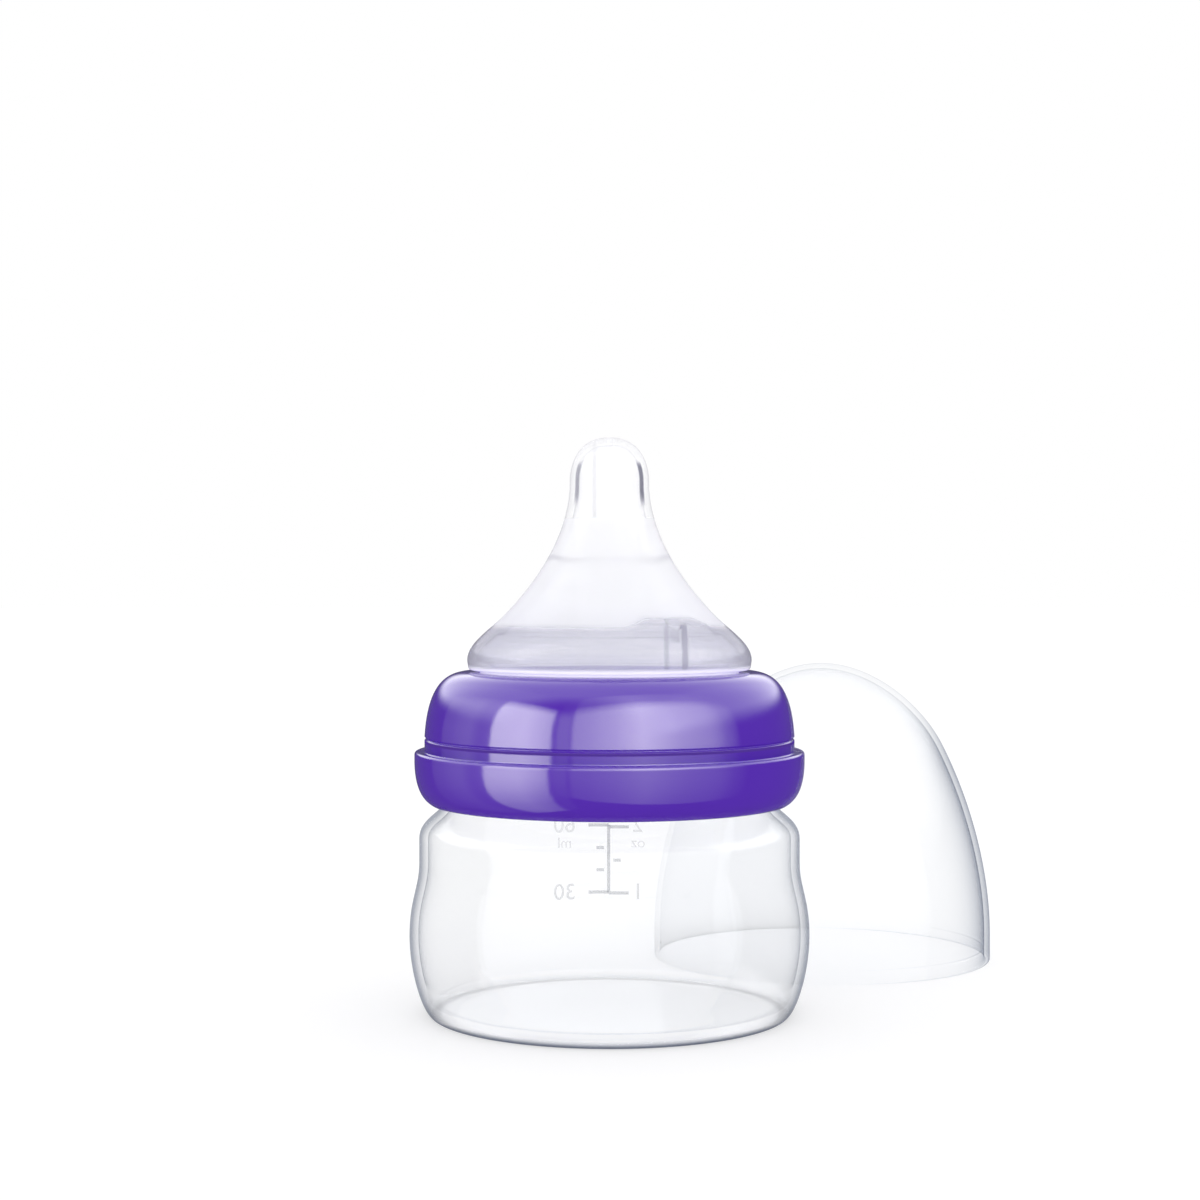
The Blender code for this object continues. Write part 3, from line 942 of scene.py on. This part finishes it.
def bottle_marks(sheet, place, facing):
    """Painted shade at the bottle's edges and foot, mostly on near and outer faces; a painted glow on its
    flat floor.
    """
    across, from_axis, near, outer = wall_sides(sheet, place)
    height = across.beside("Z")
    # Painted contact shadow: the foot darkens towards the floor.
    foot = sheet.rise(height, 0.0014, 0.0001, 0.0, 0.5)
    low = sheet.rise(height, 0.0030, 0.0010, 0.0, 0.9)
    # The flat inner floor is kept clear of painted shade and gets a painted glow.
    floor = sheet.rise(from_axis, FLOOR_RADIUS + 0.001, FLOOR_RADIUS)
    floor = floor * sheet.rise(height, 0.0040, 0.0030)
    # Painted edge shade, more on near and outer faces and less in the inner corner.
    corner = (1.0 - outer) * sheet.rise(height, 0.0060, 0.0040)
    share = (0.15 + near * 1.55) * (0.5 + outer * 0.7)
    edge = sheet.rise(facing ** EDGE_SHARPNESS * (1.0 - corner) * share, 0.0, 1.0, 0.0, 0.75)
    painted_shade = sheet.most(edge, foot * share) * (1.0 - floor)
    return painted_shade, sheet.most(painted_shade, low * (1.0 - floor)), floor


def cap_marks(sheet, place, facing):
    """Painted shade at the cap's edges, heaviest low down on its +X side and faint at its top."""
    across = sheet.node("ShaderNodeSeparateXYZ", inputs={0: place})
    # Painted shade, heavier low down on the +X side, with a faint band at the top.
    side = sheet.rise(across, CAP_PLACE.x, CAP_PLACE.x + 0.02)
    side = side * sheet.rise(across.beside("Z"), CAP_TOP_FADE, CAP_SIDE_FADE)
    top = sheet.rise(across.beside("Z"), CAP_SIDE_FADE, CAP_TOP_FADE, 0.0, 0.16)
    painted_shade = facing ** CAP_SHARPNESS * (0.04 + top + side * 0.91)
    return painted_shade, painted_shade * 0.3, 0.0


def purple_plastic():
    """Opaque moulded plastic with a high gloss, a slight orange peel and painted shade in its snap groove.
    """
    material, sheet = new_material("purple_plastic")
    place = sheet.node("ShaderNodeTexCoord", output="Object")
    height = sheet.node("ShaderNodeSeparateXYZ", inputs={0: place}).beside("Z")
    # Painted shade: along the snap groove a dark diffuse colour takes the place of the gloss.
    groove_height = LEDGE_HEIGHT + SNAP_RISE - GROOVE_SHADE_DROP
    groove = sheet.line_at(height, groove_height, 0.00030, 0.00012)
    purple = sheet.blend(sheet.noise(place, 90.0), (0.083, 0.021, 0.405, 1.0), (0.091, 0.025, 0.425, 1.0))
    shader = sheet.node(
        "ShaderNodeBsdfPrincipled",
        inputs={
            "Base Color": purple,
            "Roughness": 0.05 + sheet.noise(place, 400.0, 4.0) * 0.07,
            "Normal": sheet.bump(sheet.noise(place, 900.0, 1.0), 0.00002, 0.2),
            "IOR": PLASTIC_INDEX,
        },
    )
    shade = sheet.node("ShaderNodeBsdfDiffuse", inputs={"Color": (0.085, 0.038, 0.300, 1.0)})
    finish_material(sheet, sheet.node("ShaderNodeMixShader", inputs={0: groove, 1: shader, 2: shade}))
    return material


def silicone():
    """Silicone: clear at the nipple and frosted below it, with a painted purple reflection of the
    collar on its skirt, and a painted glow that makes its foot pale.

    Darker parts: painted shade at its edges, painted shade in two lines down the nipple and at the
    wall's step inside the cone, a faint moulding seam, and painted shade at the two sides of the
    vent's stem behind the skirt.  A faint painted glow lies over the whole piece.
    """
    material, sheet = new_material("silicone")
    place = sheet.node("ShaderNodeTexCoord", output="Object")
    across, from_axis, near, outer = wall_sides(sheet, place)
    back = across.beside("Y")
    height = across.beside("Z") - SKIRT_UNDERSIDE
    facing = sheet.node("ShaderNodeLayerWeight", inputs={"Blend": 0.5}, output="Facing")
    turn = back.maths("ARCTAN2", back, across)
    vent_turn = math.radians(VENT_DIRECTION)
    over_vent = sheet.line_at(turn, vent_turn, math.radians(28.0), math.radians(12.0))
    step_height = SKIRT_STEP_RISE + over_vent * STEP_ARCH
    skirt = sheet.rise(height - step_height, 0.0007, -0.0007)
    # Painted glow: the foot is paler and gives off light.
    foot = sheet.rise(height, 0.0010, 0.0003) * near
    milky = sheet.rise(height, FROST_RISE + 0.0002, FROST_RISE - 0.0002)
    low = sheet.rise(height, 0.0200, 0.0070)

    # Painted shade: two dark lines down the nipple's flanks, where the wall is seen at a slant.
    streak_shade = sheet.rise(facing, 0.33, 0.38) * sheet.rise(facing, 0.52, 0.46)
    streak_shade = streak_shade * sheet.rise(height, 0.0255, 0.0280) * sheet.rise(height, 0.0340, 0.0320)
    streak_shade = streak_shade * sheet.rise(from_axis, 0.0056, 0.0060) * sheet.rise(across, -0.002, 0.002, 0.6, 1.0)
    # Painted shade along the wall's inner step in the cone.
    step = sheet.line_at(height, CONE_STEP_RISE, 0.0008, 0.0001)
    step = step * sheet.rise(facing, 0.40, 0.70, 0.0, 0.60)
    # Painted shade: the two sides of the vent's stem, painted on the outer skirt in front of it.
    left_stem_shade = sheet.line_at(across, VENT_PLACE.x - VENT_LINE_LEFT, 0.0006, 0.0001)
    right_stem_shade = sheet.line_at(across, VENT_PLACE.x + VENT_LINE_RIGHT, 0.0007, 0.0002)
    stem = sheet.most(left_stem_shade * 0.35, right_stem_shade * 0.60) * sheet.rise(height, 0.0078, 0.0070)
    stem = stem * near * outer * sheet.rise(back, -0.0125, -0.0135)
    seam = sheet.line_at(across, SEAM_PLACE, 0.0005, 0.0001)
    seam = seam * sheet.rise(height, 0.0170, 0.0190, 0.0, 0.07)
    # Painted reflection of the purple collar on the skirt.
    painted_collar_reflection = skirt * (1.0 - foot) * outer * sheet.rise(facing, 0.2, 0.8, 0.23, 0.60)
    # Painted shade at its edges.
    edge = sheet.choose(milky, facing ** 4.0 * 0.25, facing ** 2.5 * 0.35)
    edge = sheet.choose(skirt, edge, facing ** 4.0 * outer * 0.6)
    dark = sheet.most(edge, painted_collar_reflection, streak_shade, step, seam, milky * (1.0 - skirt) * 0.055) + stem
    # The dark parts, painted shade and reflection but for the seam and frosting, pass light in this
    # colour.
    thin = straight_through(sheet, dark, (0.995, 0.995, 1.0, 1.0), (0.30, 0.295, 0.39, 1.0))

    grain = sheet.noise(place, 1500.0, 3.0)
    colour = sheet.blend(low, (0.990, 0.992, 1.0, 1.0), (0.965, 0.972, 0.990, 1.0))
    # The skirt's body colour carries the painted purple reflection too.
    colour = sheet.blend(skirt, colour, (0.88, 0.885, 0.955, 1.0))
    # Paler at the foot, part of its painted glow.
    colour = sheet.blend(foot, colour, (1.0, 0.99, 1.0, 1.0))
    # The edges take the colour of the painted shade.
    colour = sheet.blend(edge, colour, (0.45, 0.43, 0.62, 1.0))
    solid = sheet.node(
        "ShaderNodeBsdfPrincipled",
        inputs={
            "Base Color": colour,
            "Roughness": 0.08 + milky * (1.0 - skirt) * 0.25 + grain * 0.08,
            "Normal": sheet.bump(sheet.noise(place, 220.0, 1.0), 0.00003, 0.3),
            "IOR": SILICONE_INDEX,
            "Transmission Weight": 0.4,
            # Painted glow: faint over the whole piece and stronger at the foot.
            "Emission Color": sheet.blend(foot, (0.04, 0.04, 0.04, 1.0), (0.30, 0.29, 0.33, 1.0)),
            "Emission Strength": 1.0,
        },
    )
    share = sheet.choose(milky, 0.15, 0.50 + low * 0.1)
    share = sheet.choose(skirt, share, 0.32)
    share = sheet.choose(foot, share, 0.92)
    finish_material(sheet, sheet.node("ShaderNodeMixShader", inputs={0: share, 1: thin, 2: solid}))
    return material


def scale_print():
    """Pale grey print, fainter in the lettering than in the marks."""
    material, sheet = new_material("scale_print")
    place = sheet.node("ShaderNodeTexCoord", output="Object")
    across = sheet.node("ShaderNodeSeparateXYZ", inputs={0: place})
    lettering = sheet.rise(abs(across), LONG_MARK, LONG_MARK + 0.0005)
    fainter = sheet.rise(across.beside("Z"), 0.018, 0.022, 0.09, 0.16)
    worn = sheet.rise(sheet.noise(place, 1200.0, 3.0), 0.35, 0.75)
    shader = sheet.node(
        "ShaderNodeBsdfPrincipled",
        inputs={
            "Base Color": sheet.blend(worn, (0.72, 0.73, 0.77, 1.0), (0.82, 0.83, 0.86, 1.0)),
            "Roughness": 0.4,
            "Alpha": 0.31 - lettering * fainter,
        },
    )
    finish_material(sheet, shader)
    return material


# ---------------------------------------------------------------- studio
def make_floor():
    """Pale paper that shows white, with the object's soft shadow on it."""
    shape = bmesh.new()
    bmesh.ops.create_grid(shape, x_segments=1, y_segments=1, size=FLOOR_SIZE)
    mesh = bpy.data.meshes.new("floor")
    shape.to_mesh(mesh)
    shape.free()
    floor = add_object("floor", mesh)
    floor.visible_glossy = False
    floor.visible_shadow = False
    material, sheet = new_material("white_paper")
    bounce = sheet.node("ShaderNodeLightPath", output="Is Diffuse Ray")
    shade = (FLOOR_SHADE, FLOOR_SHADE, FLOOR_SHADE, 1.0)
    paper = sheet.node("ShaderNodeBsdfDiffuse", inputs={"Color": shade})
    glow = sheet.choose(bounce, FLOOR_GLOW, FLOOR_BOUNCE)
    glow = sheet.node("ShaderNodeEmission", inputs={"Color": WHITE, "Strength": glow})
    finish_material(sheet, sheet.node("ShaderNodeAddShader", inputs={0: paper, 1: glow}))
    mesh.materials.append(material)


def make_world():
    """An even white room: what lights, what mirrors and what shows through are set apart."""
    world = bpy.data.worlds.new("studio")
    world.use_nodes = True
    bpy.context.scene.world = world
    sheet = Sheet(world.node_tree)
    way = sheet.node("ShaderNodeTexCoord", output="Generated")
    across = sheet.node("ShaderNodeSeparateXYZ", inputs={0: way})
    back = across.beside("Y")
    up = across.beside("Z")
    lighting = sheet.rise(up, -0.2, 0.7, 0.9, 1.05) - back * 0.12
    tilt = up / (up ** 2.0 + across ** 2.0) ** 0.5
    above = sheet.rise(back + across * 0.4, -0.85, -0.45) * sheet.rise(up, 0.10, 0.26)
    above = above * sheet.rise(tilt, 0.15, 0.42)
    side = sheet.rise(abs(across), 0.40, 0.62)
    mirrored = 0.1 + above * (2.05 + side * 0.45)
    path = sheet.node("ShaderNodeLightPath", output="Is Glossy Ray")
    level = sheet.choose(path, lighting, mirrored)
    level = sheet.choose(path.beside("Is Transmission Ray"), level, 1.0)
    level = sheet.choose(path.beside("Is Camera Ray"), level, 1.0)
    room = sheet.node("ShaderNodeBackground", inputs={"Color": WHITE, "Strength": level})
    sheet.node("ShaderNodeOutputWorld", inputs={"Surface": room})


def shown_only_on(item, pieces):
    """Puts a lamp in the scene that nothing shows but the gloss of some pieces."""
    bpy.context.scene.collection.objects.link(item)
    item.visible_camera = False
    item.visible_diffuse = False
    item.visible_transmission = False
    shown_on = bpy.data.collections.new(item.name)
    for piece in pieces:
        shown_on.objects.link(piece)
    item.light_linking.receiver_collection = shown_on


def softbox(name, azimuth, across, up, radiance, colour, pieces):
    """An upright lamp that only shows as a reflection on some pieces.

    across and up are its levels: from left to right by the angle from the front, and from the
    bottom to the top by the elevation, both in degrees.
    """
    centre = math.radians(azimuth)
    width = 2 * max(abs(math.tan(math.radians(angle - azimuth))) for angle, _ in across)
    low = math.tan(math.radians(up[0][0]))
    high = math.tan(math.radians(up[-1][0]))
    light = bpy.data.lights.new(name, "AREA")
    light.shape = "RECTANGLE"
    light.size = width * LAMP_DISTANCE
    light.size_y = (high - low) * LAMP_DISTANCE
    light.energy = radiance * math.pi * light.size * light.size_y
    light.use_nodes = True
    sheet = Sheet(light.node_tree)
    side = sheet.node("ShaderNodeNewGeometry", output="Parametric")
    side = sheet.node("ShaderNodeSeparateXYZ", inputs={0: side})
    stops = [
        (0.5 + math.tan(math.radians(angle - azimuth)) / width, (level,) * 3)
        for angle, level in across
    ]
    level = sheet.node("ShaderNodeValToRGB", {"stops": stops}, {0: side})
    stops = [((math.tan(math.radians(angle)) - low) / (high - low), (level,) * 3) for angle, level in up]
    upper = sheet.node("ShaderNodeValToRGB", {"stops": stops}, {0: side.beside("Y")})
    glow = sheet.node("ShaderNodeEmission", inputs={"Color": colour, "Strength": level * upper})
    sheet.node("ShaderNodeOutputLight", inputs={"Surface": glow})
    item = bpy.data.objects.new(name, light)
    out = Vector((math.sin(centre), -math.cos(centre), 0.0))
    item.location = out * LAMP_DISTANCE + Vector((0.0, 0.0, LAMP_EYE + (high + low) / 2 * LAMP_DISTANCE))
    item.rotation_euler = (-out).to_track_quat("-Z", "Y").to_euler()
    shown_only_on(item, pieces)


def make_lights(glossy, clear):
    """A tall softbox at the left and a broad one at the right, faint on the clear pieces."""
    left = [
        (-125, 0.02), (-112, 0.05), (-94, 0.12), (-85, 0.08), (-77.5, 0.10), (-75, 0.82),
        (-53, 1.0), (-36.5, 0.69), (-34, 0.08), (-25, 0.09), (-23.5, 0.0),
    ]
    right = [
        (-24, 0.10), (-21.5, 0.43), (-12, 0.49), (2.5, 0.66), (20, 0.96), (35, 0.70),
        (44, 0.56), (54, 0.47), (64, 0.38), (75, 0.15), (86, 0.0),
    ]
    left_up = [(-62, 0.13), (-41, 0.26), (-26, 0.42), (-10, 0.69), (5, 1.0), (29, 1.0), (39, 0.0)]
    right_up = [(-41, 0.14), (-26, 0.18), (-9, 0.25), (-2, 0.3), (4, 1.0), (36, 1.0), (50, 0.2), (66, 0.1)]
    for name, radiance, colour, pieces in (
        ("gloss", 11.3, (1.0, 1.0, 0.84, 1.0), glossy),
        ("sheen", 0.25, WHITE, clear),
    ):
        softbox(name + "_left", LEFT_LAMP_ANGLE, left, left_up, radiance, colour, pieces)
        softbox(name + "_right", RIGHT_LAMP_ANGLE, right, right_up, radiance, colour, pieces)


def make_camera():
    camera = bpy.data.cameras.new("camera")
    camera.sensor_width = 36.0
    camera.lens = CAMERA_LENS
    camera.clip_start = 0.01
    camera.clip_end = 20.0
    item = bpy.data.objects.new("camera", camera)
    item.location = CAMERA_PLACE
    item.rotation_euler = (math.radians(90.0 - CAMERA_DIP), 0.0, 0.0)
    bpy.context.scene.collection.objects.link(item)
    bpy.context.scene.camera = item


def main():
    # The second colour of each clear plastic is its painted edge shade.
    bottle = make_bottle(clear_plastic(
        "clear_bottle", (0.993, 0.995, 0.999, 1.0), (0.215, 0.243, 0.315, 1.0), 0.06,
        (0.94, 0.945, 0.955, 1.0), bottle_marks,
    ))
    scale = make_scale(scale_print())
    collar = make_collar(purple_plastic())
    teat = make_teat(silicone())
    cap = make_cap(clear_plastic(
        "clear_cap", (0.994, 0.996, 1.0, 1.0), (0.42, 0.45, 0.52, 1.0), 0.03,
        (0.96, 0.965, 0.975, 1.0), cap_marks,
    ))
    make_floor()
    make_world()
    make_lights([collar], [bottle, scale, teat, cap])
    make_camera()
    bpy.context.scene.view_settings.view_transform = "Standard"


main()
